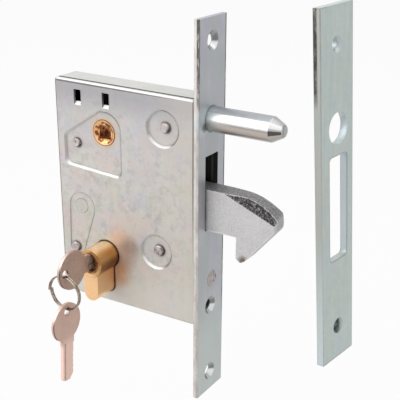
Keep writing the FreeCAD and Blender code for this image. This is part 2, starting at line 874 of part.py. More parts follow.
def pin_springs(side, rise):
    """Pin springs, as sleeves below the driver pins."""
    pins = []
    for y in pin_places(side):
        start = pin_shear_out - rise + driver_len + pin_spring_play
        end = pin_chamber_low - pin_spring_play
        sleeve = upright_pin(y, start, end, pin_spring_d)
        pins.append(sleeve.cut(upright_pin(y, start - cut_over, end + cut_over,
                                           pin_spring_d / 2)))
    return Part.makeCompound(pins)


def key_shape():
    """Key with its blade along +Y from the cylinder's face at Y = 0, and its bow behind."""
    half = key_thick / 2
    bow = Part.makeCylinder(key_bow_r, key_thick, V(-half, -key_bow_out, key_bow_rise),
                            X_AXIS)
    h = key_blade_high / 2
    outline = [(V(-half, -key_blade_root, -h), 0),
               (V(-half, key_blade_len - key_tip_slope, -h), key_tip_r),
               (V(-half, key_blade_len, -h + key_tip_rise), key_tip_r),
               (V(-half, key_blade_len, h - key_tip_fall), key_tip_r),
               (V(-half, key_blade_len - key_tip_back, h), key_tip_r),
               (V(-half, -key_blade_root, h), 0)]
    blade = Part.Face(rounded_wire(outline)).extrude(X_AXIS * key_thick)
    neck_half = key_neck_high / 2
    neck = block(-half, half, -key_neck_start, -key_neck_end, -neck_half, neck_half)
    body = bow.fuse([blade, neck]).removeSplitter()
    cuts = [Part.makeCylinder(key_hole_r, 3 * key_thick,
                              V(-1.5 * key_thick, -key_bow_out - key_hole_out,
                                key_bow_rise), X_AXIS)]
    groove_half = key_groove / 2
    for x, z in ((-half, key_groove_left), (half - key_groove_depth, key_groove_right)):
        cuts.append(block(x, x + key_groove_depth, -key_groove_start, key_blade_len + cut_over,
                          z - groove_half, z + groove_half))
    for i in range(pin_count):
        y = pin_first + i * pin_pitch
        notch = Part.makePolygon([V(-key_thick, y - key_cut_run, -h - cut_over),
                                  V(-key_thick, y - key_cut_run, -h),
                                  V(-key_thick, y - key_cut_flat, -h + key_cut_depth),
                                  V(-key_thick, y + key_cut_flat, -h + key_cut_depth),
                                  V(-key_thick, y + key_cut_run, -h),
                                  V(-key_thick, y + key_cut_run, -h - cut_over),
                                  V(-key_thick, y - key_cut_run, -h - cut_over)])
        cuts.append(Part.Face(notch).extrude(X_AXIS * 2 * key_thick))
    return body.cut(cuts)


def lock_key_axis():
    """Height of the blade's middle in the plug."""
    return cyl_at[1] + key_blade_above


def key_in_lock():
    """Key pushed home in the near plug."""
    key = key_shape()
    key.translate(V(cyl_at[0], -cyl_half, lock_key_axis()))
    return key


def ring_centre():
    """Centre of the split ring as it hangs in the key's hole."""
    top = lock_key_axis() + key_bow_rise - key_hole_r + ring_hang_gap + ring_wire_d / 2
    return V(cyl_at[0], -cyl_half - key_bow_out - key_hole_out, top - ring_mean_r)


def biarc(p0, t0, p1, t1):
    """Two arcs that leave p0 along t0 and reach p1 along t1."""
    v = p1 - p0
    t = t0 + t1
    a = 2 * (1 - t0.dot(t1))
    b = v.dot(t)
    reach = (-b + math.sqrt(b * b + a * v.dot(v))) / a
    q0 = p0 + t0 * reach
    q1 = p1 - t1 * reach
    joint = (q0 + q1) * 0.5
    edges = []
    for start, knee, end in ((p0, q0, joint), (joint, q1, p1)):
        chord_mid = (start + end) * 0.5
        rise = knee - chord_mid
        half_chord = start.distanceToPoint(end) / 2
        angle = math.atan2(rise.Length, half_chord)
        sag = half_chord * math.tan(angle / 2)
        edges.append(Part.Arc(start, chord_mid + rise.normalize() * sag, end).toShape())
    return edges


def coil_point(centre, axis, start, radius, pitch, angle):
    """Point and direction on a coil round an axis."""
    side = axis.cross(start)
    out = start * math.cos(angle) + side * math.sin(angle)
    rise = pitch * angle / (2 * math.pi)
    point = centre + out * radius + axis * rise
    turn = side * math.cos(angle) - start * math.sin(angle)
    slope = turn * radius + axis * (pitch / (2 * math.pi))
    return point, slope.normalize()


def coil_tube(name, centre, axis, start, radius, pitch, turns, wire_d):
    """One unbroken wound wire, with its least gap to itself measured on points."""
    steps = turns * 4
    edges = []
    points = []
    for i in range(steps):
        a0 = i * math.pi / 2
        a1 = (i + 1) * math.pi / 2
        p0, t0 = coil_point(centre, axis, start, radius, pitch, a0)
        p1, t1 = coil_point(centre, axis, start, radius, pitch, a1)
        arcs = biarc(p0, t0, p1, t1)
        edges.extend(arcs)
        for arc in arcs:
            points.extend(arc.discretize(13)[:-1])
    p0, t0 = coil_point(centre, axis, start, radius, pitch, 0.0)
    section = Part.Wire([Part.makeCircle(wire_d / 2, p0, t0)])
    tube = Part.Wire(edges).makePipeShell([section], True, False)
    per_turn = len(points) // turns
    least = 1e9
    for i in range(len(points)):
        for j in range(i + per_turn // 2, len(points)):
            least = min(least, points[i].distanceToPoint(points[j]))
    print(name, "least gap between turns", round(least - wire_d, 3), "mm")
    return tube


def key_ring():
    """Split ring through both keys."""
    shift = Y_AXIS * (-ring_turns * ring_pitch / 2)
    return coil_tube("key_ring", ring_centre() + shift, Y_AXIS, X_AXIS * -1, ring_mean_r,
                     ring_pitch, ring_turns, ring_wire_d)


def spare_key():
    """Key hanging blade down from the lowest point of the ring, its cuts to the far side."""
    key = key_shape()
    hole = V(0, -key_bow_out - key_hole_out, key_bow_rise)
    key.translate(hole * -1)
    key.rotate(V(0, 0, 0), Y_AXIS, 180)
    key.rotate(V(0, 0, 0), X_AXIS, -90 - spare_lean)
    lowest = ring_centre() - Z_AXIS * ring_mean_r
    drop = key_hole_r - ring_wire_d / 2 - ring_hang_gap
    key.translate(lowest - Z_AXIS * drop)
    return key


def case_spring(name, place, mean_r):
    """Return spring wound round a pin beside the far wall of the case."""
    low = far_inner - spring_side_gap - spring_wire_d / 2 - spring_turns * spring_pitch
    return coil_tube(name, at(place, low), Y_AXIS, X_AXIS, mean_r, spring_pitch,
                     spring_turns, spring_wire_d)


def strike_placement():
    """Placement of the strike plate beside the lock."""
    turn_z = FreeCAD.Rotation(Z_AXIS, strike_turn_z)
    turn_y = FreeCAD.Rotation(Y_AXIS, strike_turn_y)
    turn_x = FreeCAD.Rotation(X_AXIS, strike_turn_x)
    place = V(strike_gap, strike_side, strike_lift)
    return FreeCAD.Placement(place, turn_z.multiply(turn_y).multiply(turn_x))


def strike_plate():
    """Strike plate with pin hole, hook slot and two sunk screw holes."""
    half_w = strike_width / 2
    half_l = strike_length / 2
    plate = block(-strike_thick, 0, -half_w, half_w, -half_l, half_l)
    left = strike_slot_side - strike_slot_width / 2
    right = strike_slot_side + strike_slot_width / 2
    corners = [(V(-2 * strike_thick, left, strike_slot_low), strike_slot_r),
               (V(-2 * strike_thick, right, strike_slot_low), strike_slot_r),
               (V(-2 * strike_thick, right, strike_slot_high), strike_slot_r),
               (V(-2 * strike_thick, left, strike_slot_high), strike_slot_r)]
    slot = Part.Face(rounded_wire(corners)).extrude(X_AXIS * 3 * strike_thick)
    cuts = [slot, Part.makeCylinder(strike_pin_hole_d / 2, 3 * strike_thick,
                                    V(-2 * strike_thick, strike_slot_side,
                                      strike_pin_hole_z), X_AXIS)]
    for z in (-strike_screw_half, strike_screw_half):
        cuts.append(countersink(strike_screw_d, strike_head_d, strike_thick, V(0, 0, z), X_AXIS))
    body = plate.cut(cuts)
    body.Placement = strike_placement()
    return body


def all_pieces():
    """Every piece by name."""
    posts = [case_post(*post) for post in post_list()]
    return {
        "case_tray": case_tray(),
        "case_cover": case_cover(),
        "forend_plate": forend_plate(),
        "forend_rivet": forend_rivet(),
        "guide_pin": guide_pin(),
        "upper_post": posts[0],
        "corner_post": posts[1],
        "lower_post": posts[2],
        "lever_pivot_pin": posts[3],
        "hook_pivot_pin": posts[4],
        "hook_bolt": hook_bolt(),
        "hook_spring": case_spring("hook_spring", hook_pin_at, hook_spring_r),
        "lifting_lever": lifting_lever(),
        "lever_spring": case_spring("lever_spring", lever_pin_at, lever_spring_r),
        "follower_hub": follower_hub(),
        "cylinder_body": cylinder_body(),
        "cylinder_cam": cylinder_cam(),
        "near_plug": plug(-1),
        "far_plug": plug(1),
        "near_plug_clip": plug_clip(-1),
        "far_plug_clip": plug_clip(1),
        "near_key_pins": key_pins(-1, 0.0),
        "near_driver_pins": driver_pins(-1, 0.0),
        "near_pin_springs": pin_springs(-1, 0.0),
        "far_key_pins": key_pins(1, locked_rise),
        "far_driver_pins": driver_pins(1, locked_rise),
        "far_pin_springs": pin_springs(1, locked_rise),
        "key_in_lock": key_in_lock(),
        "key_ring": key_ring(),
        "spare_key": spare_key(),
        "strike_plate": strike_plate(),
    }


os.makedirs("parts", exist_ok=True)
for name, shape in all_pieces().items():
    shape.translate(X_AXIS * forend_thick)
    shape.exportStep("parts/" + name + ".step")
    box = shape.BoundBox
    print(name, len(shape.Solids), "valid", shape.isValid(), round(shape.Volume, 1),
          [round(v, 2) for v in (box.XMin, box.XMax, box.YMin, box.YMax, box.ZMin, box.ZMax)])
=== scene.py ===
import json
import math

import bpy
from mathutils import Matrix, Vector


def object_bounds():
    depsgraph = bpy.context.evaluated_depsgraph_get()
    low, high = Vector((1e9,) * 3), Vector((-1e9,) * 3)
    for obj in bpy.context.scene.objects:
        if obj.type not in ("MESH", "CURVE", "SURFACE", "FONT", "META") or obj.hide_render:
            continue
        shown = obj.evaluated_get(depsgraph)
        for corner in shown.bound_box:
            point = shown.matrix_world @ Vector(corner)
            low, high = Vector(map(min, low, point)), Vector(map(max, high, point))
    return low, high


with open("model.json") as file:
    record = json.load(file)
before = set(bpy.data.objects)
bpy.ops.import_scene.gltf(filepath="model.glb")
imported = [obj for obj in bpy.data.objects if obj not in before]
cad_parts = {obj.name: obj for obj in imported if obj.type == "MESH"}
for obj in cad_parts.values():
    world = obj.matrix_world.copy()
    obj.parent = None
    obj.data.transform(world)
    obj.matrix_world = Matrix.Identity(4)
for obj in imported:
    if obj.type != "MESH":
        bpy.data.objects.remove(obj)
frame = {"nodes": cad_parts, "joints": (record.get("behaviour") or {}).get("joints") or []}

MM = 0.001
NODES = frame["nodes"]
cad_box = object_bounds()


def mm(*values):
    """Point given in millimetres."""
    return Vector(values) * MM


# Camera of the photograph
LENS_TARGET = mm(23, 0, -4.5)
CAMERA_YAW = math.radians(28.817)
CAMERA_PITCH = math.radians(22.748)
CAMERA_ROLL = math.radians(1.419)
CAMERA_DISTANCE = 0.510954
FOCAL_PIXELS = 916.2
PHOTO_SIZE = 400
OPTICAL_CENTRE = (241.755, 232.26)
SENSOR_WIDTH = 36.0
NEAREST_SEEN = 0.01

# Studio: sizes and places in metres, powers in watts
FLOOR_DROP = 0.05
FLOOR_SIZE = 8.0
FLOOR_GREY = (0.86, 0.86, 0.86, 1)
FLOOR_ROUGHNESS = 0.9
BACKDROP_SHARE = 0.93
WHITE = (1, 1, 1, 1)
ROOM_LIGHT = 0.29
KEY_LAMP_AT = (-0.9, -1.5, 1.1)
KEY_LAMP_SIZE = 2.5
KEY_LAMP_POWER = 37
TOP_LAMP_AT = (0.3, 0.1, 1.6)
TOP_LAMP_SIZE = 1.5
TOP_LAMP_POWER = 11

# Rounding of the sharp edges
AS_CUT = 0
SHEET_EDGE = 0.3 * MM
HOOK_EDGE = 0.4 * MM
SMALL_EDGE = 0.2 * MM
JOIN_WITHIN = 0.01 * MM
FLAT_WITHIN = math.radians(0.5)
SHARP_FROM = math.radians(35)
EDGE_SEGMENTS = 2

# Directions on the lock: out of the forend, up, to the cover side and to the far side
OUT = (1, 0, 0)
UP = (0, 0, 1)
NEAR = (0, -1, 0)
FAR = (0, 1, 0)

# Axes that pieces turn about
HINGES = [joint for joint in frame["joints"] if joint["type"] == "hinge"]
AXES = {hinge["name"]: Vector(hinge["pos_m"]) for hinge in HINGES}
FOLLOWER_AT = AXES["follower_turn"]
LEVER_PIN_AT = AXES["lever_swing"]
CYLINDER_AT = AXES["key_turn"]


def corners(node):
    """Lowest and highest corner of a node's box."""
    axes = list(zip(*NODES[node].bound_box))
    return Vector([min(axis) for axis in axes]), Vector([max(axis) for axis in axes])


# Places on the pieces
FOREND_HIGH = corners("forend_plate")[1]
PIN_LOW, PIN_HIGH = corners("guide_pin")
HOOK_LOW, HOOK_HIGH = corners("hook_bolt")
STRIKE_LOW, STRIKE_HIGH = corners("strike_plate")
PIN_ROOT = Vector((FOREND_HIGH.x, 0, (PIN_LOW.z + PIN_HIGH.z) / 2))
PIN_ROOT_REFLECTION_AT = PIN_ROOT + mm(0, -9, 0)
PIN_ROOT_SHADE_AT = PIN_ROOT + mm(0, -7.6, -3.2)
HOOK_RUST_AT = Vector((HOOK_HIGH.x, HOOK_LOW.y, HOOK_LOW.z)) + mm(-20.5, 0, 13.9)
STRIKE_LOW_SCREW_AT = (STRIKE_LOW + STRIKE_HIGH) / 2 + mm(4.47, 0.36, -80.08)
LOBE_TOP = CYLINDER_AT.z - 7 * MM
KEY_BOW_GAP = CYLINDER_AT.z - 12.5 * MM
KEY_BLADE_TOP = CYLINDER_AT.z - 39.5 * MM
CASE_INSIDE_REACH = 30 * MM

# Colours that several finishes share, as linear red, green and blue
# Old grease with painted shade, for corners and gaps
GREASE_AND_SHADE = (0.10, 0.075, 0.055)
# Near-black painted shade for the inside of the case and the forend's slot
PAINTED_SHADE_INSIDE = (0.012, 0.015, 0.014)
PALE_EDGE = (0.80, 0.79, 0.77)

# Rays that look for edges and for hollows
BEVEL_SAMPLES = 4
SHADE_SAMPLES = 8


def nothing_selected():
    """Leaves every object out of the selection."""
    if bpy.context.object and bpy.context.object.mode != "OBJECT":
        bpy.ops.object.mode_set(mode="OBJECT")
    bpy.ops.object.select_all(action="DESELECT")


class Finish:
    """One material: masks and patterns from 0 to 1, and a base colour laid on tint by tint."""

    def __init__(self, name, metal):
        self.material = bpy.data.materials.new(name)
        self.material.use_nodes = True
        self.nodes = self.material.node_tree.nodes
        self.links = self.material.node_tree.links
        self.shader = self.nodes["Principled BSDF"]
        self.shader.inputs["Metallic"].default_value = metal
        coordinates = self.nodes.new("ShaderNodeTexCoord")
        self.place = coordinates.outputs["Object"]
        self.normal = coordinates.outputs["Normal"]
        self.base = None

    # Arithmetic on patterns

    def feed(self, socket, value):
        """Gives a socket a pattern, a number, a direction or a colour."""
        if isinstance(value, bpy.types.NodeSocket):
            self.links.new(value, socket)
        elif socket.type == "RGBA":
            socket.default_value = (*value, 1.0)
        else:
            socket.default_value = value

    def joined(self, operation, first, second):
        """One number worked out from two."""
        node = self.nodes.new("ShaderNodeMath")
        node.operation = operation
        self.feed(node.inputs[0], first)
        self.feed(node.inputs[1], second)
        return node.outputs[0]

    def vectors_joined(self, operation, first, second):
        """Two vectors joined into one, or compared by a number."""
        node = self.nodes.new("ShaderNodeVectorMath")
        node.operation = operation
        self.feed(node.inputs[0], first)
        self.feed(node.inputs[1], second)
        return node.outputs["Vector" if operation == "MULTIPLY" else "Value"]

    def limits(self, source, low, high, out_low=0.0, out_high=1.0):
        """Stretches a pattern between two of its values."""
        span = self.nodes.new("ShaderNodeMapRange")
        span.inputs["From Min"].default_value = low
        span.inputs["From Max"].default_value = high
        span.inputs["To Min"].default_value = out_low
        span.inputs["To Max"].default_value = out_high
        self.feed(span.inputs["Value"], source)
        return span.outputs["Result"]

    def both(self, *masks):
        """1 where every mask is 1, the product of them all."""
        product = masks[0]
        for mask in masks[1:]:
            product = self.joined("MULTIPLY", product, mask)
        return product

    def opposite(self, mask):
        """0 where the mask is 1, and 1 where it is 0."""
        return self.limits(mask, 0.0, 1.0, 1.0, 0.0)

    def at_least(self, mask, least):
        """A mask that never falls below a share."""
        return self.limits(mask, 0.0, 1.0, least, 1.0)

    def mix(self, mask, first, second):
        """The first colour where the mask is 0, the second where it is 1."""
        node = self.nodes.new("ShaderNodeMix")
        node.data_type = "RGBA"
        # Sockets of a colour mix, whose names its other kinds share
        factor, colour_a, colour_b = node.inputs[0], node.inputs[6], node.inputs[7]
        self.feed(factor, mask)
        self.feed(colour_a, first)
        self.feed(colour_b, second)
        return node.outputs[2]

    # Patterns

    def clouds(self, scale, detail=5, rough=0.65, stretch=(1, 1, 1), turn=(0, 0, 0)):
        """Soft cloudy pattern, its scale in clouds per metre, stretched and turned in degrees."""
        mapping = self.nodes.new("ShaderNodeMapping")
        mapping.inputs["Scale"].default_value = stretch
        mapping.inputs["Rotation"].default_value = [math.radians(angle) for angle in turn]
        self.feed(mapping.inputs["Vector"], self.place)
        noise = self.nodes.new("ShaderNodeTexNoise")
        noise.inputs["Scale"].default_value = scale
        noise.inputs["Detail"].default_value = detail
        noise.inputs["Roughness"].default_value = rough
        self.feed(noise.inputs["Vector"], mapping.outputs["Vector"])
        return noise.outputs["Fac"]

    def patches(self, scale, start, full, **pattern):
        """Clouds cut down to their high parts, 0 up to the start and 1 from full."""
        return self.limits(self.clouds(scale, **pattern), start, full)

    def pits(self, scale, full, end):
        """Scattered dots, 1 out to the distance full and 0 from the end, in shares of a cell."""
        cells = self.nodes.new("ShaderNodeTexVoronoi")
        cells.inputs["Scale"].default_value = scale
        self.feed(cells.inputs["Vector"], self.place)
        return self.limits(cells.outputs["Distance"], full, end, 1.0, 0.0)

    # Masks by place

    def across(self, direction, start, full):
        """0 to 1 between two distances from the origin along a direction."""
        return self.limits(self.vectors_joined("DOT_PRODUCT", self.place, direction), start, full)

    def lower_than(self, height, soft):
        """1 below a height, 0 above it."""
        return self.across(UP, height + soft, height - soft)

    def spot(self, place, reach, soft):
        """1 at a place, falling to 0 at the reach over a soft share of it."""
        away = self.vectors_joined("DISTANCE", self.place, place)
        return self.limits(away, reach * (1 - soft), reach, 1.0, 0.0)

    def round_about(self, centre, inner, outer):
        """1 inside a circle seen from the side of the case, 0 past its soft edge."""
        flat = self.vectors_joined("MULTIPLY", self.place, (1, 0, 1))
        away = self.vectors_joined("DISTANCE", flat, (centre[0], 0, centre[2]))
        return self.limits(away, inner, outer, 1.0, 0.0)

    # Masks by shape

    def facing(self, direction, start, full):
        """1 where the surface faces the given way, between two cosines of the angle off it."""
        return self.limits(self.vectors_joined("DOT_PRODUCT", self.normal, direction), start, full)

    def rounded_normal(self, width):
        """The way the surface would face with its edges rounded."""
        bevel = self.nodes.new("ShaderNodeBevel")
        bevel.samples = BEVEL_SAMPLES
        bevel.inputs["Radius"].default_value = width
        return bevel.outputs["Normal"]

    def worn_edges(self, width, start=0.02, full=0.25):
        """1 along sharp edges, 0 on flats."""
        normal = self.nodes.new("ShaderNodeNewGeometry").outputs["Normal"]
        alike = self.vectors_joined("DOT_PRODUCT", self.rounded_normal(width), normal)
        return self.limits(self.joined("SUBTRACT", 1.0, alike), start, full)

    def edge_facing(self, direction, width, start, full):
        """1 along the edges whose next surface faces the given way."""
        alike = self.vectors_joined("DOT_PRODUCT", self.rounded_normal(width), direction)
        return self.limits(alike, start, full)

    def hollows(self, reach, dark, light):
        """1 in corners and gaps narrower than the reach, 0 in the open."""
        shade = self.nodes.new("ShaderNodeAmbientOcclusion")
        shade.samples = SHADE_SAMPLES
        shade.inputs["Distance"].default_value = reach
        return self.limits(shade.outputs["AO"], dark, light, 1.0, 0.0)

    # What the shader gets

    def ground(self, pattern, dark, pale, low=0.35, high=0.65):
        """Lays the first colour, dark below the low value of a pattern and pale above the high."""
        self.base = self.mix(self.limits(pattern, low, high), dark, pale)

    def tint(self, mask, share, colour):
        """Lays a colour over the base where the mask is 1, as thick as its share."""
        self.base = self.mix(self.both(mask, share), self.base, colour)

    def grease_and_shade(self, reach=1.5 * MM, share=0.75, colour=GREASE_AND_SHADE):
        """Lays painted shade with old grease in corners and gaps found by ambient occlusion, broken
        up by clouds.
        """
        patchy = self.at_least(self.patches(170, 0.32, 0.6, detail=4), 0.35)
        self.tint(self.both(self.hollows(reach, 0.66, 0.93), patchy), share, colour)

    def roughness(self, pattern, smooth, rough, low=0.3, high=0.7):
        """Roughness from smooth to rough between two values of a pattern."""
        self.feed(self.shader.inputs["Roughness"], self.limits(pattern, low, high, smooth, rough))

    def relief(self, height, strength, depth=0.2 * MM):
        """Bump from a height pattern, added to the bump that is there."""
        bump = self.nodes.new("ShaderNodeBump")
        bump.inputs["Strength"].default_value = strength
        bump.inputs["Distance"].default_value = depth
        self.feed(bump.inputs["Height"], height)
        target = self.shader.inputs["Normal"]
        if target.is_linked:
            self.feed(bump.inputs["Normal"], target.links[0].from_socket)
        self.feed(target, bump.outputs["Normal"])

    def finished(self):
        """Gives the shader the base colour and hands over the material."""
        self.feed(self.shader.inputs["Base Color"], self.base)
        return self.material


# Case

# Large tinges of the cover: clouds per metre, turn in degrees, share, tint
COVER_TINGES = ((55, 0, 0.6, (0.48, 0.47, 0.555)),
                (70, 40, 0.5, (0.52, 0.55, 0.44)),
                (62, 80, 0.55, (0.64, 0.51, 0.47)))
# Painted light and shade over the cover, darker towards its top, lighter low down and warmer towards
# the forend: the way they grow, from where to where in mm, share, tint
COVER_PAINTED_SHADING = ((UP, 15, 66, 0.5, (0.475, 0.47, 0.50)),
                (UP, 50, 63, 0.65, (0.335, 0.33, 0.345)),
                (UP, -30, -55, 0.6, (0.68, 0.655, 0.60)),
                (OUT, -35, -4, 0.45, (0.575, 0.525, 0.47)))
# The ways the walls of the pressed recesses and the cover's rim face, where painted light and painted
# shade are laid
RECESS_PAINTED_LIGHT_WAYS = ((0, -0.59, 0.81), (0.45, -0.59, 0.67))
RECESS_PAINTED_SHADE_WAY = (-0.62, -0.76, -0.15)
RECESS_SHADED_WAY = (0.50, -0.60, -0.62)
REAR_RIM_SHADE_WAY = (-0.97, 0, -0.24)
UNDER_BEND_SHADE_WAY = (0, -0.966, 0.259)
# Painted warm reflections of the brass on the cover, one of them a painted shade: place from the
# cylinder's axis, reach in mm, share, tint
BRASS_PAINTED_REFLECTIONS = ((mm(10.8, -10, 9.5), 12, 0.80, (0.62, 0.41, 0.29)),
               (mm(4.8, -10, -8.5), 15, 1.0, (0.55, 0.29, 0.14)),
               (mm(17.3, -10, 7.5), 9, 0.75, (0.27, 0.20, 0.17)),
               (mm(12.8, -10, -0.5), 10, 0.70, (0.46, 0.31, 0.23)))


def sheet_zinc():
    """Rolled zinc sheet of the cover: clouds, stains, fine scratches, grease and painted shade in its
    corners, with painted light and shade on its broad face, recesses, rims and seams, and painted
    reflections of the brass.
    """
    zinc = Finish("sheet_zinc", metal=0.4)
    clouds = zinc.clouds(28, rough=0.6)
    zinc.ground(clouds, dark=(0.535, 0.505, 0.465), pale=(0.61, 0.595, 0.565), low=0.3, high=0.7)
    stains = zinc.patches(9, 0.42, 0.72, detail=3, rough=0.5)
    zinc.tint(stains, 0.4, (0.56, 0.52, 0.45))
    pale_mottle = zinc.patches(240, 0.35, 0.68, rough=0.7)
    zinc.tint(pale_mottle, 0.35, (0.70, 0.69, 0.67))
    grey_mottle = zinc.patches(200, 0.48, 0.66, rough=0.75, turn=(20, 0, 70))
    zinc.tint(grey_mottle, 0.8, (0.38, 0.365, 0.355))
    dirt = zinc.patches(120, 0.60, 0.72, detail=6, rough=0.7)
    zinc.tint(dirt, 0.5, (0.30, 0.27, 0.25))
    scratches = zinc.patches(190, 0.66, 0.72, detail=3, rough=0.6, stretch=(1, 1, 0.03),
                             turn=(0, 35, 0))
    zinc.tint(scratches, 0.3, (0.36, 0.34, 0.31))
    for scale, turn, share, tinge in COVER_TINGES:
        zinc.tint(zinc.patches(scale, 0.46, 0.66, turn=(turn, 0, turn)), share, tinge)
    # Painted light and shade over the broad face
    for way, start, full, share, shade in COVER_PAINTED_SHADING:
        zinc.tint(zinc.across(way, start * MM, full * MM), share, shade)
    # Painted light on the recess walls that face up
    for way in RECESS_PAINTED_LIGHT_WAYS:
        painted_lit_wall = zinc.facing(way, 0.89, 0.97)
        zinc.tint(painted_lit_wall, 0.9, (0.84, 0.84, 0.83))
    # Painted shade on the recess walls that face down and back
    painted_shade_wall = zinc.facing(RECESS_PAINTED_SHADE_WAY, 0.885, 0.93)
    zinc.tint(painted_shade_wall, 0.9, (0.13, 0.11, 0.10))
    # Painted shade along the rear rims of the recesses
    shaded_rear_rims = zinc.edge_facing(REAR_RIM_SHADE_WAY, 0.9 * MM, 0.10, 0.34)
    zinc.tint(shaded_rear_rims, 0.75, (0.16, 0.14, 0.13))
    shaded_wall = zinc.facing(RECESS_SHADED_WAY, 0.86, 0.97)
    zinc.tint(shaded_wall, 0.8, (0.74, 0.73, 0.71))
    # Painted shade: a dark line under the bent top edge
    shaded_under_bend = zinc.facing(UNDER_BEND_SHADE_WAY, 0.974, 0.986)
    zinc.tint(shaded_under_bend, 0.85, (0.10, 0.085, 0.08))
    # Painted shade along the seam beside the forend
    shaded_forend_seam = zinc.both(zinc.across(OUT, -3.6 * MM, -3.1 * MM),
                            zinc.across(OUT, -2.0 * MM, -2.5 * MM),
                            zinc.across(UP, -30 * MM, 20 * MM))
    zinc.tint(shaded_forend_seam, 0.8, (0.12, 0.10, 0.09))
    # Painted warm reflection of the brass follower on the zinc round it
    painted_follower_reflection = zinc.round_about(FOLLOWER_AT, 7.6 * MM, 11.2 * MM)
    zinc.tint(painted_follower_reflection, 0.7, (0.66, 0.46, 0.30))
    # Painted reflections and shade of the brass cylinder on the cover
    broken = zinc.at_least(zinc.patches(210, 0.30, 0.62, detail=4), 0.5)
    for offset, reach, share, glow in BRASS_PAINTED_REFLECTIONS:
        spot = zinc.spot(CYLINDER_AT + offset, reach * MM, soft=0.6)
        zinc.tint(zinc.both(spot, broken), share, glow)
    zinc.tint(zinc.worn_edges(0.4 * MM), 0.45, PALE_EDGE)
    zinc.grease_and_shade()
    streaks = zinc.clouds(260, detail=4, rough=0.6, stretch=(1, 1, 0.05), turn=(0, 20, 0))
    zinc.roughness(zinc.joined("ADD", clouds, streaks), smooth=0.46, rough=0.62, low=0.7, high=1.3)
    zinc.relief(zinc.clouds(900, detail=3, rough=0.6), 0.10)
    zinc.relief(streaks, 0.06)
    return zinc.finished()


def tray_zinc():
    """Zinc of the walls and the far sheet, with painted shade where the case closes over it and deep
    inside the case.
    """
    zinc = Finish("tray_zinc", metal=0.4)
    clouds = zinc.clouds(35, rough=0.6)
    zinc.ground(clouds, dark=(0.62, 0.63, 0.60), pale=(0.73, 0.73, 0.70), low=0.3, high=0.7)
    mottle = zinc.patches(260, 0.4, 0.7, rough=0.7)
    zinc.tint(mottle, 0.25, (0.42, 0.40, 0.37))
    zinc.tint(zinc.worn_edges(0.4 * MM), 0.45, (0.80, 0.80, 0.78))
    zinc.grease_and_shade(2 * MM, 0.95)
    # Painted shade on the tray's near-facing edge and lip in the seam under the cover
    shaded_cut_edge = zinc.facing(NEAR, 0.4, 0.8)
    zinc.tint(shaded_cut_edge, 0.85, (0.09, 0.075, 0.065))
    shaded_lip = zinc.across(NEAR, 5.8 * MM, 6.3 * MM)
    zinc.tint(shaded_lip, 0.85, (0.10, 0.085, 0.075))
    # Painted shade, near black, deep inside the case
    zinc.tint(zinc.hollows(CASE_INSIDE_REACH, 0.10, 0.60), 1.0, PAINTED_SHADE_INSIDE)
    streaks = zinc.clouds(300, detail=4, rough=0.6, stretch=(0.05, 1, 1))
    zinc.roughness(zinc.joined("ADD", clouds, streaks), smooth=0.36, rough=0.55, low=0.7, high=1.3)
    zinc.relief(zinc.clouds(700, detail=3, rough=0.6), 0.10)
    return zinc.finished()


def rivet_steel():
    """Headed-over steel of posts and rivets, dark in the hammer marks."""
    steel = Finish("rivet_steel", metal=0.6)
    clouds = steel.clouds(260)
    steel.ground(clouds, dark=(0.34, 0.29, 0.28), pale=(0.60, 0.55, 0.54))
    hammer_marks = steel.patches(420, 0.56, 0.66, detail=3, rough=0.6)
    steel.tint(hammer_marks, 0.7, (0.12, 0.09, 0.08))
    steel.tint(steel.worn_edges(0.3 * MM), 0.5, (0.78, 0.74, 0.72))
    shaded_flank = steel.both(steel.facing((0.75, -0.1, -0.65), 0.35, 0.75),
                              steel.facing(OUT, 0.995, 0.96))
    steel.tint(shaded_flank, 0.8, (0.05, 0.042, 0.038))
    steel.grease_and_shade(2 * MM, 0.95, (0.05, 0.038, 0.03))
    steel.roughness(clouds, smooth=0.30, rough=0.55)
    steel.relief(clouds, 0.3, 0.3 * MM)
    return steel.finished()


def pin_disc_zinc():
    """Zinc of the lever's pin, flush in the cover, a painted shadow as a dark arc round it, and a few
    pits.
    """
    zinc = Finish("pin_disc_zinc", metal=0.4)
    clouds = zinc.clouds(160)
    zinc.ground(clouds, dark=(0.52, 0.49, 0.455), pale=(0.62, 0.60, 0.57))
    zinc.tint(zinc.pits(420, 0.14, 0.24), 0.5, (0.12, 0.09, 0.08))
    # Painted shadow: a dark arc in the gap round the pin at its upper left
    rim = zinc.opposite(zinc.round_about(LEVER_PIN_AT, 4.2 * MM, 4.6 * MM))
    upper_left = zinc.across((-0.6, 0, 0.8), 42.1 * MM, 45 * MM)
    zinc.tint(zinc.both(rim, upper_left), 0.9, (0.08, 0.06, 0.05))
    zinc.grease_and_shade(1 * MM, 0.8)
    zinc.roughness(clouds, smooth=0.40, rough=0.58)
    zinc.relief(clouds, 0.2)
    return zinc.finished()


# Forend, guide pin and hook

# Bluish tinges of the forend: clouds per metre, turn in degrees, tint
FOREND_TINGES = ((90, 0, (0.46, 0.45, 0.53)), (75, 50, (0.43, 0.47, 0.46)))
# Painted light and shade on the sides of its screws' sinks: the way they face, where the tint starts
# and is full, share, tint
SINK_PAINTED_LIGHT_AND_SHADE = (((0.70, -0.50, 0.50), 0.90, 0.96, 0.9, (0.97, 0.97, 0.97)),
              ((0.68, 0.50, 0.53), 0.94, 0.98, 0.9, (0.07, 0.065, 0.06)),
              ((0.70, -0.71, -0.05), 0.985, 0.996, 0.7, (0.25, 0.25, 0.25)))


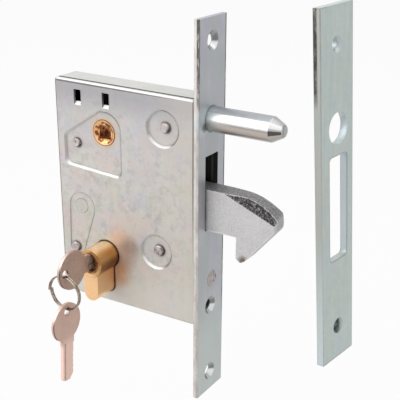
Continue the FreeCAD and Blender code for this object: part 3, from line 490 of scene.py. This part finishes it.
def forend_zinc():
    """Brushed bluish zinc of the forend, its marks up and down, its near arris dark and rough, with
    painted light on its near side, painted shade in its slot and at the pin's root, painted light and
    shade in its sinks and a painted reflection by the pin.
    """
    zinc = Finish("forend_zinc", metal=0.6)
    streaks = zinc.clouds(420, stretch=(1, 1, 0.03))
    zinc.ground(streaks, dark=(0.43, 0.435, 0.47), pale=(0.52, 0.53, 0.56))
    pale_clouds = zinc.patches(30, 0.45, 0.75, detail=4, rough=0.6)
    zinc.tint(pale_clouds, 0.5, (0.60, 0.63, 0.62))
    for scale, turn, tinge in FOREND_TINGES:
        patch = zinc.patches(scale, 0.44, 0.62, rough=0.7, stretch=(1, 1, 0.6), turn=(turn, 0, 0))
        zinc.tint(patch, 0.8, tinge)
    low_end = zinc.across(UP, -45 * MM, -75 * MM)
    zinc.tint(low_end, 0.8, (0.55, 0.60, 0.575))
    side = zinc.facing(NEAR, 0.4, 0.9)
    half = FOREND_HIGH.y
    near_edge = zinc.across(NEAR, half - 1.4 * MM, half - 0.7 * MM)
    mottle = zinc.patches(300, 0.4, 0.62, rough=0.7, stretch=(1, 1, 0.4))
    # Painted light on the near side, warm and mottled
    lit_warm_zinc = zinc.mix(mottle, (0.68, 0.655, 0.63), (0.56, 0.51, 0.47))
    zinc.tint(zinc.both(side, near_edge), 1.0, lit_warm_zinc)
    pale_arris = zinc.both(zinc.across(NEAR, half - 1.5 * MM, half - 0.8 * MM),
                           zinc.facing(OUT, 0.3, 0.75))
    zinc.tint(pale_arris, 0.7, (0.70, 0.63, 0.585))
    broken = zinc.at_least(zinc.patches(330, 0.32, 0.52, rough=0.7, stretch=(1, 1, 0.35)), 0.15)
    stronger_high_up = zinc.at_least(zinc.across(UP, 45 * MM, 85 * MM), 0.3)
    near_line = zinc.both(zinc.across(OUT, 1.4 * MM, 1.9 * MM), stronger_high_up, near_edge, broken)
    zinc.tint(near_line, 0.95, (0.055, 0.045, 0.04))
    far_line = zinc.both(zinc.across(FAR, half - 1.3 * MM, half - 0.8 * MM),
                         zinc.across(UP, -75 * MM, -50 * MM), broken)
    zinc.tint(far_line, 0.9, (0.07, 0.06, 0.058))
    zinc.tint(zinc.both(zinc.worn_edges(0.4 * MM), near_edge), 0.4, PALE_EDGE)
    # Painted shade inside the slot
    shaded_slot_wall = zinc.both(side, zinc.across(FAR, 2 * MM, 4 * MM))
    zinc.tint(shaded_slot_wall, 0.95, PAINTED_SHADE_INSIDE)
    # Painted reflection of the pin near its root
    painted_pin_reflection = zinc.spot(PIN_ROOT_REFLECTION_AT, 9 * MM, soft=0.7)
    zinc.tint(painted_pin_reflection, 0.7, (0.72, 0.80, 0.83))
    pin_shade = zinc.spot(PIN_ROOT_SHADE_AT, 3.5 * MM, soft=0.6)
    zinc.tint(pin_shade, 0.75, (0.10, 0.09, 0.09))
    # Painted light and shade on the sides of the screws' sinks
    for way, start, full, share, shade in SINK_PAINTED_LIGHT_AND_SHADE:
        zinc.tint(zinc.facing(way, start, full), share, shade)
    zinc.grease_and_shade(1.2 * MM)
    zinc.roughness(streaks, smooth=0.32, rough=0.50)
    zinc.relief(streaks, 0.12)
    return zinc.finished()


# Painted reflections in bands along the guide pin: the way they face, where the tint starts and is
# full, share, tint
PIN_PAINTED_REFLECTIONS = (((0, -0.30, 0.954), 0.72, 0.78, 0.6, (0.36, 0.38, 0.41)),
             ((0, -0.89, 0.456), 0.943, 0.967, 0.8, (0.80, 0.80, 0.79)),
             ((0, -0.50, -0.87), 0.42, 0.50, 0.8, (0.50, 0.43, 0.38)),
             ((0, 0.17, 0.985), 0.985, 0.995, 0.6, (0.14, 0.14, 0.15)))
# The same on its coned nose
NOSE_PAINTED_REFLECTIONS = ((OUT, 0.35, 0.42, 0.6, (0.46, 0.45, 0.44)),
              ((0.45, -0.76, 0.46), 0.965, 0.985, 0.9, (0.88, 0.88, 0.87)),
              ((0.47, -0.88, -0.08), 0.978, 0.988, 0.9, (0.05, 0.042, 0.04)))


def bright_pin_steel():
    """Bright plated bar of the guide pin with turning marks round it, and painted reflections in
    bands along it and on its nose.
    """
    steel = Finish("bright_pin_steel", metal=0.75)
    rings = steel.clouds(300, detail=3, rough=0.5, stretch=(1, 0.04, 0.04))
    steel.ground(rings, dark=(0.47, 0.48, 0.485), pale=(0.52, 0.52, 0.515))
    # Painted reflections, band by band
    for way, start, full, share, shade in PIN_PAINTED_REFLECTIONS + NOSE_PAINTED_REFLECTIONS:
        steel.tint(steel.facing(way, start, full), share, shade)
    # A thin painted dark reflection line along the pin
    painted_reflection_line = steel.both(steel.facing((0, -1, -0.02), 0.9975, 0.9990),
                           steel.across(OUT, 12 * MM, 20 * MM))
    steel.tint(painted_reflection_line, 0.45, (0.20, 0.17, 0.15))
    root = steel.across(OUT, 12 * MM, 3 * MM)
    steel.tint(root, 0.65, (0.50, 0.57, 0.60))
    steel.grease_and_shade(1.2 * MM, 0.4)
    steel.roughness(rings, smooth=0.30, rough=0.36)
    steel.relief(rings, 0.03, 0.1 * MM)
    return steel.finished()


# The ways the ground facets of the hook face, on its near and far side
HOOK_FACET_WAYS = ((0.103, -0.961, 0.256), (0.103, 0.961, 0.256))


def hook_casting():
    """Granular plated casting of the hook bolt, its ground facets darker and speckled."""
    casting = Finish("hook_casting", metal=0.4)
    grain = casting.clouds(1400, detail=4, rough=0.7)
    casting.ground(grain, dark=(0.44, 0.43, 0.43), pale=(0.62, 0.61, 0.61))
    pale_clouds = casting.patches(45, 0.45, 0.7, detail=4, rough=0.6)
    casting.tint(pale_clouds, 0.4, (0.64, 0.63, 0.63))
    speckles = casting.clouds(900, detail=3, rough=0.7)
    speckled_top = casting.mix(casting.limits(speckles, 0.42, 0.60),
                               (0.12, 0.115, 0.12), (0.34, 0.33, 0.335))
    casting.tint(casting.facing(UP, 0.45, 0.75), 0.9, speckled_top)
    ground_facet = casting.mix(casting.limits(speckles, 0.48, 0.66),
                               (0.010, 0.010, 0.011), (0.28, 0.26, 0.27))
    for way in HOOK_FACET_WAYS:
        casting.tint(casting.facing(way, 0.983, 0.988), 1.0, ground_facet)
    casting.tint(casting.pits(700, 0.05, 0.28), 0.30, (0.22, 0.20, 0.20))
    rust = casting.spot(HOOK_RUST_AT, 4.2 * MM, soft=0.7)
    casting.tint(rust, 0.85, (0.11, 0.045, 0.025))
    broken = casting.at_least(casting.patches(600, 0.36, 0.52, detail=3, rough=0.6), 0.2)
    # Pale worn edges, with a painted highlight along the ridge
    worn_and_lit_edge = casting.both(casting.worn_edges(1 * MM, 0.01, 0.10), broken)
    casting.tint(worn_and_lit_edge, 0.85, (0.88, 0.86, 0.85))
    casting.grease_and_shade(2 * MM, 0.6)
    casting.roughness(grain, smooth=0.42, rough=0.62)
    casting.relief(grain, 0.35)
    return casting.finished()


# Strike plate: the ways its face and its near side face
STRIKE_FACE = (0.98615, -0.15619, 0.05582)
STRIKE_NEAR_SIDE = (-0.157, -0.987, 0.0)


def strike_zinc():
    """Greenish zinc of the strike plate, grained along its length, its arrises dark in places, with
    painted shade in its lower screw's sink.
    """
    zinc = Finish("strike_zinc", metal=0.5)
    streaks = zinc.clouds(380, stretch=(1, 1, 0.04))
    clouds = zinc.clouds(26, rough=0.6)
    zinc.ground(streaks, dark=(0.52, 0.60, 0.57), pale=(0.60, 0.67, 0.64))
    zinc.tint(zinc.limits(clouds, 0.4, 0.7), 0.5, (0.64, 0.67, 0.63))
    mottle = zinc.patches(230, 0.42, 0.7, rough=0.7)
    zinc.tint(mottle, 0.22, (0.40, 0.43, 0.41))
    blue_tinge = zinc.patches(60, 0.46, 0.66, turn=(30, 0, 60))
    zinc.tint(blue_tinge, 0.5, (0.50, 0.60, 0.63))
    side = zinc.facing(STRIKE_NEAR_SIDE, 0.5, 0.9)
    outer = zinc.across(STRIKE_NEAR_SIDE, -18 * MM, -14 * MM)
    inner = zinc.across(STRIKE_NEAR_SIDE, -14 * MM, -18 * MM)
    zinc.tint(zinc.both(side, outer), 1.0, (0.41, 0.425, 0.40))
    zinc.tint(zinc.both(side, inner), 1.0, (0.57, 0.645, 0.68))
    broken = zinc.at_least(zinc.patches(300, 0.30, 0.50, rough=0.7, stretch=(1, 1, 0.35)), 0.35)
    rear_half = zinc.across(STRIKE_FACE, 67.5 * MM, 66.9 * MM)
    top_third = zinc.across(UP, 71 * MM, 80 * MM)
    zinc.tint(zinc.both(rear_half, top_third, side, outer, broken), 0.95, (0.03, 0.028, 0.025))
    zinc.tint(zinc.both(zinc.worn_edges(0.4 * MM), outer), 0.3, (0.80, 0.82, 0.79))
    wide_edge = zinc.worn_edges(1.2 * MM, 0.01, 0.08)
    dark_arris = zinc.both(wide_edge, broken, zinc.across(UP, -50 * MM, 110 * MM), outer)
    zinc.tint(dark_arris, 0.8, (0.14, 0.12, 0.11))
    slot_edge = zinc.both(wide_edge, inner, zinc.across(STRIKE_NEAR_SIDE, -41 * MM, -39 * MM),
                          zinc.across(UP, 50 * MM, 46 * MM))
    zinc.tint(slot_edge, 0.85, (0.22, 0.17, 0.15))
    # Painted shade in the sink of the lower screw
    in_sink = zinc.facing(STRIKE_FACE, 0.97, 0.90)
    shaded_low_sink = zinc.both(zinc.spot(STRIKE_LOW_SCREW_AT, 6.2 * MM, soft=0.25), in_sink)
    zinc.tint(shaded_low_sink, 0.9, (0.05, 0.055, 0.055))
    zinc.grease_and_shade(1.2 * MM)
    zinc.roughness(clouds, smooth=0.36, rough=0.54)
    zinc.relief(streaks, 0.10)
    return zinc.finished()


# Brass of cylinder and follower

def cylinder_brass():
    """Satin drawn brass of the cylinder, streaked along its length, with a painted highlight on its
    crown and painted shade low on its round side.
    """
    brass = Finish("cylinder_brass", metal=0.85)
    streaks = brass.clouds(420, stretch=(1, 0.05, 1))
    clouds = brass.clouds(60, detail=4, rough=0.6)
    brass.ground(streaks, dark=(0.62, 0.32, 0.105), pale=(0.78, 0.455, 0.18))
    brass.tint(brass.limits(clouds, 0.45, 0.75), 0.5, (0.82, 0.51, 0.235))
    lobe = brass.lower_than(LOBE_TOP, soft=0.5 * MM)
    cloudy = brass.at_least(brass.limits(clouds, 0.35, 0.55), 0.4)
    # Painted highlight on the crown of the barrel
    painted_crown_highlight = brass.both(brass.facing((0.10, 0, 0.995), 0.80, 0.97), cloudy)
    brass.tint(painted_crown_highlight, 0.7, (1.0, 0.83, 0.60))
    # Painted shade low on the barrel's round side
    shaded_round_side = brass.both(brass.facing((0.90, 0, -0.43), 0.68, 0.93), brass.opposite(lobe))
    brass.tint(shaded_round_side, 0.85, (0.20, 0.075, 0.025))
    brass.tint(lobe, 0.75, (0.98, 0.64, 0.36))
    brass.tint(brass.worn_edges(0.4 * MM), 0.6, (0.92, 0.72, 0.45))
    brass.grease_and_shade(1.4 * MM, 0.85, (0.09, 0.03, 0.012))
    brass.roughness(streaks, smooth=0.26, rough=0.44)
    brass.relief(streaks, 0.10)
    return brass.finished()


def plug_brass():
    """Red-brown tarnished brass of the plugs, bright where the key has rubbed."""
    brass = Finish("plug_brass", metal=0.7)
    clouds = brass.clouds(300)
    brass.ground(clouds, dark=(0.13, 0.045, 0.02), pale=(0.46, 0.22, 0.085), low=0.38, high=0.62)
    brass.tint(brass.worn_edges(0.4 * MM), 0.7, (0.88, 0.62, 0.34))
    brass.grease_and_shade(3 * MM, 0.9, (0.05, 0.018, 0.008))
    brass.roughness(clouds, smooth=0.30, rough=0.48)
    brass.relief(clouds, 0.2)
    return brass.finished()


def follower_brass():
    """Cast brass of the follower, coppery and rubbed, dark in its mouth."""
    brass = Finish("follower_brass", metal=0.8)
    clouds = brass.clouds(220)
    brass.ground(clouds, dark=(0.56, 0.28, 0.12), pale=(0.90, 0.60, 0.31))
    shards = brass.patches(330, 0.42, 0.54, detail=2, rough=0.4)
    glints = brass.mix(shards, (0.24, 0.06, 0.018), (0.92, 0.52, 0.22))
    mouth = brass.round_about(FOLLOWER_AT, 6.4 * MM, 6.9 * MM)
    brass.tint(mouth, 1.0, glints)
    brass.tint(brass.worn_edges(0.4 * MM), 0.7, (0.90, 0.66, 0.38))
    outline = brass.opposite(brass.round_about(FOLLOWER_AT, 7.3 * MM, 7.5 * MM))
    brass.tint(outline, 1.0, (0.10, 0.045, 0.02))
    brass.grease_and_shade(4 * MM, 0.7, (0.08, 0.028, 0.014))
    brass.roughness(clouds, smooth=0.28, rough=0.5)
    brass.relief(clouds, 0.3, 0.3 * MM)
    return brass.finished()


# Keys, ring and inner parts

def key_nickel():
    """Nickel of the keys, warm and fine-grained, its edges dark or bright by turns, with painted
    light on the hanging key and blades and painted light and shade on the rims.
    """
    nickel = Finish("key_nickel", metal=0.4)
    grain = nickel.clouds(700, detail=4)
    nickel.ground(grain, dark=(0.44, 0.30, 0.235), pale=(0.60, 0.42, 0.34))
    pale_clouds = nickel.patches(70, 0.4, 0.7, detail=4, rough=0.6)
    nickel.tint(pale_clouds, 0.5, (0.72, 0.51, 0.42))
    # Painted light on the hanging key and, stronger, on the blades
    lit_hanging_key = nickel.lower_than(KEY_BOW_GAP, soft=1 * MM)
    nickel.tint(lit_hanging_key, 0.45, (0.84, 0.58, 0.485))
    lit_blade = nickel.lower_than(KEY_BLADE_TOP, soft=3 * MM)
    nickel.tint(lit_blade, 0.85, (0.97, 0.70, 0.60))
    # Painted light on the rims that face up, painted shade on those that face down
    lit_rim = nickel.facing((0, -0.7, 0.7), 0.80, 0.95)
    nickel.tint(lit_rim, 0.6, (0.92, 0.87, 0.83))
    shaded_key_rim = nickel.facing((0, -0.5, -0.87), 0.80, 0.95)
    nickel.tint(shaded_key_rim, 0.8, (0.13, 0.08, 0.065))
    # Painted shade: a dark line between the bow's face and its rim
    front_half = nickel.across(OUT, CYLINDER_AT.x, CYLINDER_AT.x + 0.4 * MM)
    shaded_rim_line = nickel.both(front_half, nickel.facing((0, -0.95, -0.31), 0.55, 0.8),
                           nickel.opposite(lit_blade))
    nickel.tint(shaded_rim_line, 0.9, (0.045, 0.028, 0.022))
    nickel.tint(nickel.worn_edges(0.3 * MM), 0.7, (0.84, 0.77, 0.72))
    nickel.grease_and_shade(0.8 * MM, 0.75, (0.08, 0.045, 0.035))
    nickel.roughness(grain, smooth=0.42, rough=0.58)
    nickel.relief(grain, 0.12, 0.1 * MM)
    return nickel.finished()


def ring_steel():
    """Spring steel of the split ring, brownish in its lows."""
    steel = Finish("ring_steel", metal=1.0)
    clouds = steel.clouds(300, detail=4, rough=0.6)
    steel.ground(clouds, dark=(0.19, 0.145, 0.12), pale=(0.52, 0.44, 0.38))
    steel.roughness(clouds, smooth=0.18, rough=0.32)
    return steel.finished()


def inner_steel():
    """Oiled stamped steel of the parts inside."""
    steel = Finish("inner_steel", metal=0.9)
    clouds = steel.clouds(150, detail=4, rough=0.6)
    steel.ground(clouds, dark=(0.24, 0.24, 0.24), pale=(0.42, 0.42, 0.41))
    steel.roughness(clouds, smooth=0.35, rough=0.55)
    steel.relief(clouds, 0.1)
    return steel.finished()


# Camera, floor and light

def camera():
    """Camera placed and aimed as the photograph was taken."""
    forward = Vector((-math.sin(CAMERA_YAW) * math.cos(CAMERA_PITCH),
                      math.cos(CAMERA_YAW) * math.cos(CAMERA_PITCH),
                      -math.sin(CAMERA_PITCH)))
    level = forward.cross(Vector(UP)).normalized()
    rise = level.cross(forward)
    right = level * math.cos(CAMERA_ROLL) + rise * math.sin(CAMERA_ROLL)
    up = rise * math.cos(CAMERA_ROLL) - level * math.sin(CAMERA_ROLL)
    place = LENS_TARGET - forward * CAMERA_DISTANCE
    nothing_selected()
    bpy.ops.object.camera_add(location=place)
    piece = bpy.context.object
    axes = Matrix((right, up, -forward)).transposed()
    piece.matrix_world = Matrix.Translation(place) @ axes.to_4x4()
    lens = piece.data
    lens.sensor_width = SENSOR_WIDTH
    lens.lens = FOCAL_PIXELS / PHOTO_SIZE * lens.sensor_width
    lens.shift_x = (PHOTO_SIZE / 2 - OPTICAL_CENTRE[0]) / PHOTO_SIZE
    lens.shift_y = (OPTICAL_CENTRE[1] - PHOTO_SIZE / 2) / PHOTO_SIZE
    lens.clip_start = NEAREST_SEEN
    bpy.context.scene.camera = piece


def seen_directly(nodes, links):
    """1 for rays from the camera, from gloss and through glass."""
    path = nodes.new("ShaderNodeLightPath")
    seen = path.outputs["Is Camera Ray"]
    for ray in ("Is Glossy Ray", "Is Transmission Ray"):
        either = nodes.new("ShaderNodeMath")
        either.operation = "MAXIMUM"
        links.new(seen, either.inputs[0])
        links.new(path.outputs[ray], either.inputs[1])
        seen = either.outputs[0]
    return seen


def room_light():
    """Even soft light, with a white backdrop where it is seen."""
    world = bpy.data.worlds.new("studio")
    bpy.context.scene.world = world
    world.use_nodes = True
    nodes = world.node_tree.nodes
    links = world.node_tree.links
    backdrop = nodes["Background"]
    backdrop.inputs["Color"].default_value = WHITE
    strength = nodes.new("ShaderNodeMapRange")
    strength.inputs["To Min"].default_value = ROOM_LIGHT
    strength.inputs["To Max"].default_value = 1.0
    links.new(seen_directly(nodes, links), strength.inputs["Value"])
    links.new(strength.outputs["Result"], backdrop.inputs["Strength"])


def pale_floor():
    """Pale grey that shows mostly as the white backdrop and keeps a faint shadow."""
    material = bpy.data.materials.new("pale_floor")
    material.use_nodes = True
    nodes = material.node_tree.nodes
    links = material.node_tree.links
    shader = nodes["Principled BSDF"]
    shader.inputs["Base Color"].default_value = FLOOR_GREY
    shader.inputs["Roughness"].default_value = FLOOR_ROUGHNESS
    glow = nodes.new("ShaderNodeEmission")
    glow.inputs["Color"].default_value = WHITE
    share = nodes.new("ShaderNodeMath")
    share.operation = "MULTIPLY"
    share.inputs[1].default_value = BACKDROP_SHARE
    links.new(seen_directly(nodes, links), share.inputs[0])
    mix = nodes.new("ShaderNodeMixShader")
    links.new(share.outputs[0], mix.inputs[0])
    links.new(shader.outputs[0], mix.inputs[1])
    links.new(glow.outputs[0], mix.inputs[2])
    links.new(mix.outputs[0], nodes["Material Output"].inputs["Surface"])
    return material


def floor():
    """Plain floor a little below the part."""
    low = cad_box[0][2] - FLOOR_DROP
    nothing_selected()
    bpy.ops.mesh.primitive_plane_add(size=FLOOR_SIZE, location=(0, 0, low))
    piece = bpy.context.object
    piece.name = "floor"
    piece.data.name = "floor"
    bpy.ops.object.transform_apply(location=True, rotation=True, scale=True)
    piece.data.materials.append(pale_floor())


def softbox(name, place, size, power):
    """Square lamp aimed at the middle of the part."""
    nothing_selected()
    bpy.ops.object.light_add(type="AREA", location=place)
    lamp = bpy.context.object
    lamp.name = name
    lamp.data.size = size
    lamp.data.energy = power
    aim = LENS_TARGET - Vector(place)
    lamp.rotation_euler = aim.to_track_quat("-Z", "Y").to_euler()


def studio():
    """White room, key lamp on the cover side, weak lamp from above."""
    bpy.context.scene.view_settings.view_transform = "Standard"
    room_light()
    softbox("key_lamp", KEY_LAMP_AT, KEY_LAMP_SIZE, KEY_LAMP_POWER)
    softbox("top_lamp", TOP_LAMP_AT, TOP_LAMP_SIZE, TOP_LAMP_POWER)
    floor()


# Dressing of the frame's own nodes

def round_edges(piece, width):
    """Rounds the sharp edges of a piece by modifiers, once its loose triangles are joined."""
    weld = piece.modifiers.new("join_faces", "WELD")
    weld.merge_threshold = JOIN_WITHIN
    flats = piece.modifiers.new("whole_flats", "DECIMATE")
    flats.decimate_type = "DISSOLVE"
    flats.angle_limit = FLAT_WITHIN
    bevel = piece.modifiers.new("round_edges", "BEVEL")
    bevel.width = width
    bevel.segments = EDGE_SEGMENTS
    bevel.limit_method = "ANGLE"
    bevel.angle_limit = SHARP_FROM
    bevel.use_clamp_overlap = True
    bevel.harden_normals = True


def dress(material, edge, *names):
    """Gives nodes their finish, and rounds their edges where there is a width for them."""
    for name in names:
        piece = NODES[name]
        piece.data.materials.clear()
        piece.data.materials.append(material)
        if edge:
            round_edges(piece, edge)


def whole_lock():
    """Dresses every node of the lock and its strike plate."""
    dress(sheet_zinc(), SHEET_EDGE, "case_cover")
    dress(tray_zinc(), SHEET_EDGE, "case_tray")
    dress(forend_zinc(), SHEET_EDGE, "forend_plate")
    dress(strike_zinc(), SHEET_EDGE, "strike_plate")
    dress(bright_pin_steel(), AS_CUT, "guide_pin")
    dress(hook_casting(), HOOK_EDGE, "hook_bolt")
    dress(rivet_steel(), SMALL_EDGE, "upper_post", "corner_post", "lower_post", "hook_pivot_pin",
          "forend_rivet")
    dress(pin_disc_zinc(), SMALL_EDGE, "lever_pivot_pin")
    brass = cylinder_brass()
    dress(brass, SMALL_EDGE, "cylinder_body")
    dress(brass, AS_CUT, "near_key_pins", "far_key_pins")
    dress(plug_brass(), SMALL_EDGE, "near_plug", "far_plug")
    dress(follower_brass(), SMALL_EDGE, "follower_hub")
    dress(key_nickel(), SMALL_EDGE, "key_in_lock", "spare_key")
    dress(ring_steel(), AS_CUT, "key_ring")
    dress(inner_steel(), AS_CUT, "hook_spring", "lever_spring", "lifting_lever", "cylinder_cam",
          "near_plug_clip", "far_plug_clip", "near_driver_pins", "far_driver_pins",
          "near_pin_springs", "far_pin_springs")


camera()
studio()
whole_lock()
